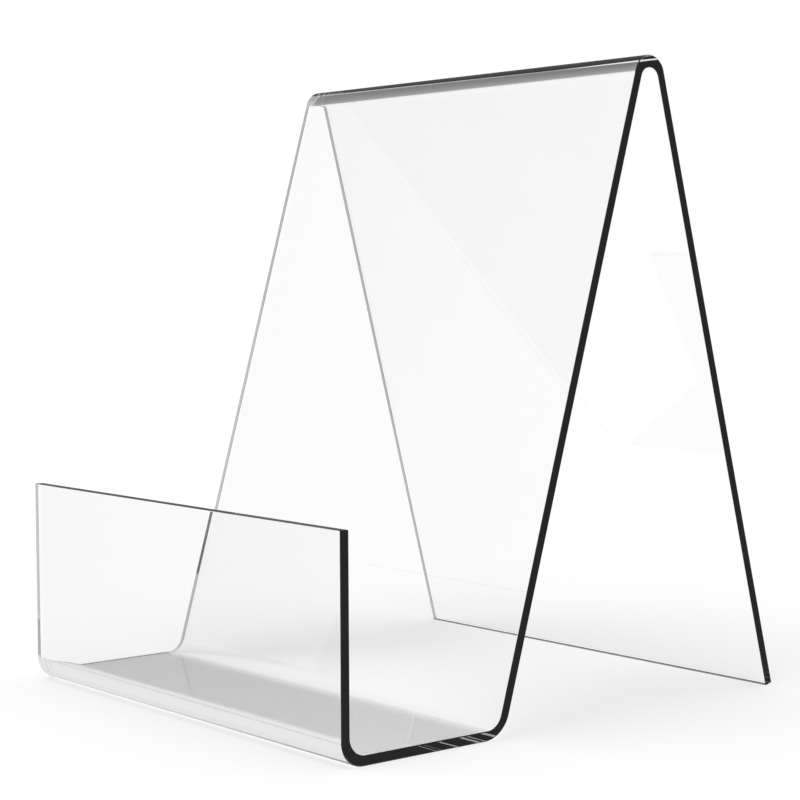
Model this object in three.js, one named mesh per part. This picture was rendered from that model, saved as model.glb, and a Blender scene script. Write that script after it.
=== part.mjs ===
// Book display stand: one rectangle of clear acrylic sheet, line-bent three times across its width.
// From the front it makes an upright lip, a flat tray, a back-rest that leans back, and a leg that is
// folded down behind the back-rest. Nothing is glued or screwed to it, so the whole stand is one piece.
//
// Millimetres. +Z is up, +X runs along the width and the lip faces -Y.
// The origin is on the surface that the stand rests on, under the middle of its bounding box.

import * as THREE from "three";

const { degToRad } = THREE.MathUtils;

// The sheet
const SHEET = 3; // thickness
const WIDTH = 165; // length of the bend lines, edge to edge
const ARRIS = 0.3; // chamfer that breaks every cut edge

// The stand
const HEIGHT = 200; // floor to the top of the rear fold
const LIP_HEIGHT = 65.5; // floor to the top edge of the lip
const TRAY_DEPTH = 59.5; // lip's outer face to the line where the back-rest's rear face would meet the floor
const BACK_LEAN = degToRad(16.3); // back-rest from the vertical
const LEG_LEAN = degToRad(14.9); // leg from the vertical

// The bends, from the tray's front to the top. Softened sheet is drawn a little thinner or pressed a
// little thicker where it turns, so each face has a radius of its own.
const FRONT_BEND = { inside: 5.6, outside: 7.6 };
const REAR_BEND = { inside: 5.3, outside: 9.6 };
const TOP_BEND = { inside: 3.6, outside: 6.3 };
const BEND_STEPS = 20; // facets round each bend

const HALF = SHEET / 2;

// The sheet is drawn from its end. A heading is 0 towards +Y and 90 degrees towards +Z.
const LIP = -Math.PI / 2;
const TRAY = 0;
const BACK = Math.PI / 2 - BACK_LEAN;
const LEG = -Math.PI / 2 + LEG_LEAN;

const along = (heading) => new THREE.Vector2(Math.cos(heading), Math.sin(heading));
const square = (heading) => new THREE.Vector2(-Math.sin(heading), Math.cos(heading));

// A point a given way along a heading and a given way square to it.
function step(from, heading, ahead, aside) {
  return from
    .clone()
    .addScaledVector(along(heading), ahead)
    .addScaledVector(square(heading), aside);
}

// The point at height z on the line from a point along a heading.
function reach(from, heading, z) {
  return step(from, heading, (z - from.y) / Math.sin(heading), 0);
}

// Where the middle planes of the flats start, would meet if the bends were sharp, and end.
function middleLine() {
  const front = new THREE.Vector2(HALF, HALF);
  const lipTop = new THREE.Vector2(HALF, LIP_HEIGHT);
  const rear = new THREE.Vector2(TRAY_DEPTH - HALF * Math.tan(BACK / 2), HALF);
  const toMiddle = TOP_BEND.outside - HALF;
  const crest = toMiddle * (Math.cos(BACK) + Math.tan((BACK - LEG) / 2) * Math.sin(BACK));
  const top = reach(rear, BACK, HEIGHT - TOP_BEND.outside + crest);
  const foot = reach(top, LEG, (HALF - ARRIS) * Math.sin(LEG_LEAN));
  return { lipTop, front, rear, top, foot };
}

// The arc that one face makes round a corner of the middle line.
function arcOnFace(corner, from, to, side, bend) {
  const turn = to - from;
  const hand = Math.sign(turn);
  const radius = hand === side ? bend.inside : bend.outside;
  const offset = side * HALF;
  const ahead = -offset * Math.tan(turn / 2) - radius * Math.tan(Math.abs(turn) / 2);
  const centre = step(corner, from, ahead, offset + hand * radius);
  const points = [];
  for (let k = 0; k <= BEND_STEPS; k++) {
    points.push(step(centre, from + (turn * k) / BEND_STEPS, 0, -hand * radius));
  }
  return points;
}

// One face of the sheet: side -1 is the underside of the tray, side 1 is the face that holds the book.
function faceOf(line, side) {
  return [
    step(line.lipTop, LIP, 0, side * (HALF - ARRIS)),
    step(line.lipTop, LIP, ARRIS, side * HALF),
    ...arcOnFace(line.front, LIP, TRAY, side, FRONT_BEND),
    ...arcOnFace(line.rear, TRAY, BACK, side, REAR_BEND),
    ...arcOnFace(line.top, BACK, LEG, side, TOP_BEND),
    step(line.foot, LEG, -ARRIS, side * HALF),
    step(line.foot, LEG, 0, side * (HALF - ARRIS)),
  ];
}

function sheetGeometry() {
  const line = middleLine();
  const outline = [...faceOf(line, -1), ...faceOf(line, 1).reverse()];
  const geometry = new THREE.ExtrudeGeometry(new THREE.Shape(outline), {
    depth: WIDTH - 2 * ARRIS,
    bevelThickness: ARRIS,
    bevelSize: ARRIS,
    bevelOffset: -ARRIS,
    bevelSegments: 1,
  });
  // The outline's plane becomes the stand's Y-Z plane, and the extrusion runs along +X.
  const outlineX = new THREE.Vector3(0, 1, 0);
  const outlineY = new THREE.Vector3(0, 0, 1);
  const depth = new THREE.Vector3(1, 0, 0);
  geometry.applyMatrix4(new THREE.Matrix4().makeBasis(outlineX, outlineY, depth));
  geometry.computeBoundingBox();
  const middle = geometry.boundingBox.getCenter(new THREE.Vector3());
  geometry.translate(-middle.x, -middle.y, 0);
  return geometry;
}

const clearAcrylic = new THREE.MeshStandardMaterial({
  color: 0xf3f5f5,
  roughness: 0.04,
  metalness: 0,
  transparent: true,
  opacity: 0.3,
});

const sheet = new THREE.Mesh(sheetGeometry(), clearAcrylic);
sheet.name = "bent_acrylic_sheet";

const stand = new THREE.Group();
stand.add(sheet);

export default stand;
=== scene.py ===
"""Book display stand: one clear acrylic sheet, line-bent into lip, tray, back-rest and leg.

Metres, +Z up, +X along the width, the lip faces -Y. The sheet is meshed as rings across it, one at each
station from the top of the lip to the foot of the leg. Its cut edges are rounded off and polished.
"""

import math

import bpy
from mathutils import Matrix, Vector


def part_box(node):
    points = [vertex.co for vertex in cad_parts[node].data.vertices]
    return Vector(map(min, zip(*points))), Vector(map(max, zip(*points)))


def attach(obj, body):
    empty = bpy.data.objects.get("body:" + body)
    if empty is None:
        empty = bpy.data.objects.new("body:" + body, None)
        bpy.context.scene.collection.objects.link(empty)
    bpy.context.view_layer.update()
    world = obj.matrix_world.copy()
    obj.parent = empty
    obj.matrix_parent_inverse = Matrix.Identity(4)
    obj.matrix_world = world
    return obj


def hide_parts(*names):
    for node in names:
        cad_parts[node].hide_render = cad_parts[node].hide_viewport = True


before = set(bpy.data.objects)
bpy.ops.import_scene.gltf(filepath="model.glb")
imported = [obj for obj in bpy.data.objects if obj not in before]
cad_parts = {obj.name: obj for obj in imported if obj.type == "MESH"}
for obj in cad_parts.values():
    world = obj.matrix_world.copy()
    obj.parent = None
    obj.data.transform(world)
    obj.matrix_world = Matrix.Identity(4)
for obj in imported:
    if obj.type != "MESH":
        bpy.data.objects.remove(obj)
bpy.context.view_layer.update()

NODE = "bent_acrylic_sheet"
CAD_LOW, CAD_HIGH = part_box(NODE)

# The sheet and its bends, as in the CAD model.
SHEET = 0.003
HALF = SHEET / 2
WIDTH = CAD_HIGH.x - CAD_LOW.x
LIP_HEIGHT = 0.0655
TRAY_DEPTH = 0.0595
BACK_LEAN = math.radians(16.3)
LEG_LEAN = math.radians(14.9)
FRONT_BEND = (0.0056, 0.0076)  # inside and outside radius
REAR_BEND = (0.0053, 0.0096)
TOP_BEND = (0.0036, 0.0063)
ARRIS = 0.0003
ARRIS_STEPS = 3
BEND_STEP = math.radians(2.5)

# Headings in the Y-Z plane: 0 towards +Y, 90 degrees towards +Z.
LIP = -math.pi / 2
TRAY = 0.0
BACK = math.pi / 2 - BACK_LEAN
LEG = -math.pi / 2 + LEG_LEAN

# The finish of the sheet. POLISHED is its roughness, and HAIRLINE and CUT_EDGE add to it.
ACRYLIC_IOR = 1.49
POLISHED = 0.002
HAIRLINE = 0.05
CUT_EDGE = 0.002
PATCH_SCALE = (22, 22, 22)
PATCH_EDGE = (0.45, 0.7)
WIPES = ((0.35, (14, 900, 1300)), (-1.05, (18, 1100, 1500)))  # turn of each set, and its noise scale
WIPE_EDGE = (0.64, 0.74)

# The ripple where the sheet was softened to bend it: height, noise scale, and how far it spreads.
RIPPLE = 0.000005
RIPPLE_SCALE = (6, 260, 260)
BELOW_TOP = (0.014, 0.007)
ABOVE_FLOOR = (0.006, 0.014)
FROM_TRAY_MIDDLE = (0.02, 0.026)

# The view.
VIEW_AZIMUTH = math.radians(50.57)
VIEW_PITCH = math.radians(3.6)
VIEW_ROLL = math.radians(-0.28)
VIEW_PLACE = Vector((0.5123, -0.4210, 0.1348))
SENSOR = 36.0
LENS = 91.46

# The studio. Brightness is relative to white. The ROOM values make up what the sheet reflects: from
# ahead to behind, then what the left adds and the right takes away, then the floor. The shade values
# paint a faint shadow into the floor's glow: how far it reaches, how dark it is, and which way it leans.
SWEEP_LIGHT = 1.03
ROOM_AHEAD = 0.2
ROOM_BEHIND = 0.9
ROOM_LEFT = 0.1
ROOM_RIGHT = 0.08
ROOM_FLOOR = 0.82
ROOM_FLOOR_EDGE = (-0.4, -0.2)
FLOOR_GAP = 0.00005
FLOOR_HALF = 30.0
FLOOR_LIGHT = 1.03
# Painted shadow on the floor: it dims the floor's glow near the stand.
PAINTED_SHADE_REACH = 0.18
PAINTED_SHADE_DEPTH = 0.4
PAINTED_SHADE_EDGE = (0.1, 0.5)
PAINTED_SHADE_LEAN = (0, -0.4, 0.917)


def along(heading):
    return Vector((0, math.cos(heading), math.sin(heading)))


def square(heading):
    return Vector((0, -math.sin(heading), math.cos(heading)))


def reach(start, heading, z):
    """The point at height z on the line from a point along a heading."""
    return start + along(heading) * (z - start.z) / math.sin(heading)


def middle_line():
    """Where the middle planes of the flats start, would meet if the bends were sharp, and end."""
    y, z = CAD_LOW.y, CAD_LOW.z
    lip_top = Vector((0, y + HALF, z + LIP_HEIGHT))
    front = Vector((0, y + HALF, z + HALF))
    rear = Vector((0, y + TRAY_DEPTH - HALF * math.tan(BACK / 2), z + HALF))
    crest = (TOP_BEND[1] - HALF) * (math.cos(BACK) + math.tan((BACK - LEG) / 2) * math.sin(BACK))
    top = reach(rear, BACK, CAD_HIGH.z - TOP_BEND[1] + crest)
    foot = reach(top, LEG, z + (HALF - ARRIS) * math.sin(LEG_LEAN))
    return lip_top, front, rear, top, foot


class Station:
    """A place along the sheet: its middle-line heading, a point on each face, and the edge radius there.
    tip is how far the edge's normal turns from the side towards the sheet's own end."""

    def __init__(self, heading, under, over, radius=ARRIS, tip=0.0):
        self.heading, self.radius, self.tip = heading, radius, tip
        self.faces = {-1: under, 1: over}


def end_stations(end, heading, way):
    """The rounding of the lip's top edge (way -1) or of the foot (way 1)."""
    out = square(heading) * HALF
    made = []
    for k in range(ARRIS_STEPS + 1):
        angle = math.pi / 2 * k / ARRIS_STEPS
        place = end - along(heading) * way * ARRIS * (1 - math.sin(angle))
        made.append(Station(heading, place - out, place + out, ARRIS * math.cos(angle), way * angle))
    return made if way > 0 else made[::-1]


def bend_stations(corner, start, finish, bend):
    """The stations round one bend, where each face turns on its own radius."""
    turn = finish - start
    hand = math.copysign(1, turn)
    arcs = {}
    for side in (-1, 1):
        radius = bend[0] if hand == side else bend[1]
        back = side * HALF * math.tan(turn / 2) + radius * math.tan(abs(turn) / 2)
        centre = corner - along(start) * back + square(start) * (side * HALF + hand * radius)
        arcs[side] = (centre, -hand * radius)
    steps = math.ceil(abs(turn) / BEND_STEP)
    made = []
    for k in range(steps + 1):
        heading = start + turn * k / steps
        under, over = (arcs[side][0] + square(heading) * arcs[side][1] for side in (-1, 1))
        made.append(Station(heading, under, over))
    return made


def stations():
    lip_top, front, rear, top, foot = middle_line()
    return (
        end_stations(lip_top, LIP, -1)
        + bend_stations(front, LIP, TRAY, FRONT_BEND)
        + bend_stations(rear, TRAY, BACK, REAR_BEND)
        + bend_stations(top, BACK, LEG, TOP_BEND)
        + end_stations(foot, LEG, 1)
    )


def ring(station):
    """Places and normals round the sheet at a station, a rounded rectangle."""
    out, ahead = square(station.heading), along(station.heading)
    half_x = WIDTH / 2 - ARRIS
    points = []
    for corner, (x_side, side) in enumerate([(1, 1), (-1, 1), (-1, -1), (1, -1)]):
        for k in range(ARRIS_STEPS + 1):
            angle = math.pi / 2 * (corner + k / ARRIS_STEPS)
            nx, nv = math.cos(angle), math.sin(angle)
            place = station.faces[side] + out * (station.radius * nv - side * ARRIS)
            place.x = x_side * half_x + station.radius * nx
            round_it = Vector((nx, 0, 0)) + out * nv
            points.append((place, round_it * math.cos(station.tip) + ahead * math.sin(station.tip)))
    return points


def sheet_mesh():
    """Vertices, their normals and the faces of the bent sheet. At the two ends the edge radius closes to a
    point at each corner, so vertices that fall together there are made once."""
    places, normals, faces, known = [], [], [], {}

    def vertex(place, normal):
        key = tuple(round(c, 8) for c in place)
        if key not in known:
            known[key] = len(places)
            places.append(place)
            normals.append(normal)
        return known[key]

    grid = [[vertex(*point) for point in ring(station)] for station in stations()]
    for near, far in zip(grid, grid[1:]):
        for k in range(len(near)):
            m = (k + 1) % len(near)
            corners = list(dict.fromkeys([near[k], far[k], far[m], near[m]]))
            if len(corners) > 2:
                faces.append(corners)
    faces.append(list(dict.fromkeys(grid[0])))
    faces.append(list(dict.fromkeys(reversed(grid[-1]))))
    return places, normals, faces


def build_sheet():
    places, normals, faces = sheet_mesh()
    mesh = bpy.data.meshes.new("bent_sheet")
    mesh.from_pydata(places, [], faces)
    mesh.shade_smooth()
    mesh.normals_split_custom_set_from_vertices(normals)
    obj = bpy.data.objects.new("bent_sheet", mesh)
    bpy.context.scene.collection.objects.link(obj)
    return obj


def value_node(tree, operation, *values):
    """A Math node fed by sockets or plain numbers."""
    node = tree.nodes.new("ShaderNodeMath")
    node.operation = operation
    for socket, value in zip(node.inputs, values):
        if isinstance(value, bpy.types.NodeSocket):
            tree.links.new(value, socket)
        else:
            socket.default_value = value
    return node.outputs[0]


def mix_values(tree, factor, low, high):
    """low where the factor is 0, high where it is 1."""
    node = tree.nodes.new("ShaderNodeMix")
    for socket, value in zip(node.inputs, (factor, None, low, high)):
        if isinstance(value, bpy.types.NodeSocket):
            tree.links.new(value, socket)
        elif value is not None:
            socket.default_value = value
    return node.outputs[0]


def ramp_node(tree, value, low, high, start=0.0, end=1.0):
    """A smooth step from start to end as a value goes from low to high."""
    node = tree.nodes.new("ShaderNodeMapRange")
    node.interpolation_type = "SMOOTHSTEP"
    tree.links.new(value, node.inputs["Value"])
    for name, number in (("From Min", low), ("From Max", high), ("To Min", start), ("To Max", end)):
        node.inputs[name].default_value = number
    return node.outputs[0]


def stretched_noise(tree, place, turn, scale, detail):
    """Noise drawn out along one direction in the lip's and the back-rest's plane."""
    fit = tree.nodes.new("ShaderNodeMapping")
    fit.inputs["Rotation"].default_value = (0, turn, 0)
    fit.inputs["Scale"].default_value = scale
    tree.links.new(place, fit.inputs["Vector"])
    noise = tree.nodes.new("ShaderNodeTexNoise")
    noise.inputs["Scale"].default_value = 1.0
    noise.inputs["Detail"].default_value = detail
    tree.links.new(fit.outputs[0], noise.inputs["Vector"])
    return noise.outputs[0]


def clear_acrylic():
    """Polished cast acrylic sheet. Fine wipe marks roughen it in hairlines that gather in patches, the cut
    edges are a shade duller than the faces, and where the sheet was softened to bend it a faint ripple is
    left along the bend line."""
    material = bpy.data.materials.new("clear_acrylic")
    material.use_nodes = True
    tree = material.node_tree
    shader = tree.nodes["Principled BSDF"]
    shader.inputs["Base Color"].default_value = (1, 1, 1, 1)
    shader.inputs["IOR"].default_value = ACRYLIC_IOR
    shader.inputs["Transmission Weight"].default_value = 1.0
    place = tree.nodes.new("ShaderNodeTexCoord").outputs["Object"]
    split = tree.nodes.new("ShaderNodeSeparateXYZ")
    tree.links.new(place, split.inputs[0])
    x, y, z = split.outputs

    patches = ramp_node(tree, stretched_noise(tree, place, 0.0, PATCH_SCALE, 1.0), *PATCH_EDGE)
    rough = POLISHED
    for turn, scale in WIPES:
        hair = ramp_node(tree, stretched_noise(tree, place, turn, scale, 3.0), *WIPE_EDGE)
        hair = value_node(tree, "MULTIPLY", hair, patches)
        rough = value_node(tree, "MULTIPLY_ADD", hair, HAIRLINE, rough)
    from_middle = value_node(tree, "ABSOLUTE", x)
    cut_edge = ramp_node(tree, from_middle, WIDTH / 2 - ARRIS, WIDTH / 2, 0.0, CUT_EDGE)
    tree.links.new(value_node(tree, "ADD", rough, cut_edge), shader.inputs["Roughness"])

    high = ramp_node(tree, z, *(CAD_HIGH.z - drop for drop in BELOW_TOP))
    low = ramp_node(tree, z, *(CAD_LOW.z + rise for rise in ABOVE_FLOOR), 1.0, 0.0)
    from_tray = value_node(tree, "SUBTRACT", y, CAD_LOW.y + TRAY_DEPTH / 2)
    from_tray = value_node(tree, "ABSOLUTE", from_tray)
    low = value_node(tree, "MULTIPLY", low, ramp_node(tree, from_tray, *FROM_TRAY_MIDDLE))
    softened = value_node(tree, "MAXIMUM", high, low)
    ripple = stretched_noise(tree, place, 0.0, RIPPLE_SCALE, 1.0)
    bump = tree.nodes.new("ShaderNodeBump")
    bump.inputs["Strength"].default_value = 1.0
    bump.inputs["Distance"].default_value = RIPPLE
    tree.links.new(value_node(tree, "MULTIPLY", ripple, softened), bump.inputs["Height"])
    tree.links.new(bump.outputs[0], shader.inputs["Normal"])
    return material


def build_camera():
    e, a, r = VIEW_PITCH, VIEW_AZIMUTH, VIEW_ROLL
    forward = Vector((-math.sin(a) * math.cos(e), math.cos(a) * math.cos(e), -math.sin(e)))
    level = Vector((math.cos(a), math.sin(a), 0))
    above = level.cross(forward)
    right = level * math.cos(r) + above * math.sin(r)
    up = above * math.cos(r) - level * math.sin(r)
    data = bpy.data.cameras.new("camera")
    data.sensor_width = SENSOR
    data.lens = LENS
    camera = bpy.data.objects.new("camera", data)
    turn = Matrix((right, up, -forward)).transposed().to_4x4()
    camera.matrix_world = Matrix.Translation(VIEW_PLACE) @ turn
    bpy.context.scene.collection.objects.link(camera)
    bpy.context.scene.camera = camera


def mirrored(tree):
    """1 for light that a surface has reflected on its way to the camera, and 0 for light that it has not."""
    return value_node(tree, "MINIMUM", tree.nodes.new("ShaderNodeLightPath").outputs["Glossy Depth"], 1.0)


def build_floor():
    """A glowing table with a painted shadow round the stand: its glow is dimmed where the stand is near.
    Reflected light passes it and sees the room.
    """
    mesh = bpy.data.meshes.new("floor")
    z = CAD_LOW.z - FLOOR_GAP
    corners = [(x * FLOOR_HALF, y * FLOOR_HALF, z) for x, y in ((-1, -1), (1, -1), (1, 1), (-1, 1))]
    mesh.from_pydata(corners, [], [(0, 1, 2, 3)])
    floor = bpy.data.objects.new("floor", mesh)
    bpy.context.scene.collection.objects.link(floor)
    material = bpy.data.materials.new("light_table_with_painted_shade")
    material.use_nodes = True
    tree = material.node_tree
    tree.nodes.remove(tree.nodes["Principled BSDF"])
    shade = tree.nodes.new("ShaderNodeAmbientOcclusion")
    shade.inputs["Distance"].default_value = PAINTED_SHADE_REACH
    lean = tree.nodes.new("ShaderNodeCombineXYZ")
    for socket, value in zip(lean.inputs, PAINTED_SHADE_LEAN):
        socket.default_value = value
    tree.links.new(lean.outputs[0], shade.inputs["Normal"])
    glow = tree.nodes.new("ShaderNodeEmission")
    open_sky = shade.outputs["AO"]  # 1 where nothing stands within PAINTED_SHADE_REACH on the side it leans to
    # Painted shadow: the floor's glow is dimmed where the stand is near, though not right under the sheet.
    clear_of_sheet = ramp_node(tree, open_sky, *PAINTED_SHADE_EDGE)
    painted_shade = value_node(tree, "MULTIPLY_ADD", open_sky, PAINTED_SHADE_DEPTH, -PAINTED_SHADE_DEPTH)
    level = value_node(tree, "MULTIPLY_ADD", painted_shade, clear_of_sheet, FLOOR_LIGHT)
    tree.links.new(level, glow.inputs["Strength"])
    gone = tree.nodes.new("ShaderNodeBsdfTransparent")
    choice = tree.nodes.new("ShaderNodeMixShader")
    tree.links.new(mirrored(tree), choice.inputs["Fac"])
    tree.links.new(glow.outputs[0], choice.inputs[1])
    tree.links.new(gone.outputs[0], choice.inputs[2])
    tree.links.new(choice.outputs[0], tree.nodes["Material Output"].inputs["Surface"])
    mesh.materials.append(material)


def build_world():
    """Two settings of light, as a photographer hides the lamps from the backdrop. Looked at, or looked at
    through the sheet, everything is white. In the sheet's own reflections the room is dim behind the stand,
    brightens towards the large soft light behind the camera, and is darker on the right than on the left.
    The floor below it is bright."""
    world = bpy.data.worlds.new("studio")
    bpy.context.scene.world = world
    world.use_nodes = True
    tree = world.node_tree
    direction = tree.nodes.new("ShaderNodeTexCoord").outputs["Generated"]
    split = tree.nodes.new("ShaderNodeSeparateXYZ")
    tree.links.new(direction, split.inputs[0])

    def facing(x, y):
        node = tree.nodes.new("ShaderNodeVectorMath")
        node.operation = "DOT_PRODUCT"
        tree.links.new(direction, node.inputs[0])
        node.inputs[1].default_value = (x, y, 0)
        return node.outputs["Value"]

    ahead = facing(-math.sin(VIEW_AZIMUTH), math.cos(VIEW_AZIMUTH))
    left = facing(-math.cos(VIEW_AZIMUTH), -math.sin(VIEW_AZIMUTH))
    turned = value_node(tree, "MULTIPLY_ADD", ahead, -0.5, 0.5)
    room = mix_values(tree, turned, ROOM_AHEAD, ROOM_BEHIND)
    room = value_node(tree, "MULTIPLY_ADD", left, ROOM_LEFT, room)
    less_on_right = value_node(tree, "MINIMUM", left, 0.0)
    room = value_node(tree, "MULTIPLY_ADD", less_on_right, ROOM_RIGHT, room)
    below = ramp_node(tree, split.outputs["Z"], *ROOM_FLOOR_EDGE, 1.0, 0.0)
    room = mix_values(tree, below, room, ROOM_FLOOR)
    level = mix_values(tree, mirrored(tree), SWEEP_LIGHT, room)
    background = tree.nodes["Background"]
    background.inputs["Color"].default_value = (1, 1, 1, 1)
    tree.links.new(level, background.inputs["Strength"])


def set_film():
    scene = bpy.context.scene
    scene.view_settings.view_transform = "Standard"
    scene.cycles.max_bounces = 5
    scene.cycles.transmission_bounces = 5
    scene.cycles.glossy_bounces = 5
    scene.cycles.diffuse_bounces = 4
    scene.cycles.caustics_refractive = True
    scene.cycles.caustics_reflective = True
    scene.cycles.use_denoising = True


sheet = build_sheet()
sheet.data.materials.append(clear_acrylic())
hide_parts(NODE)
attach(sheet, "root")
build_floor()
build_world()
build_camera()
set_film()
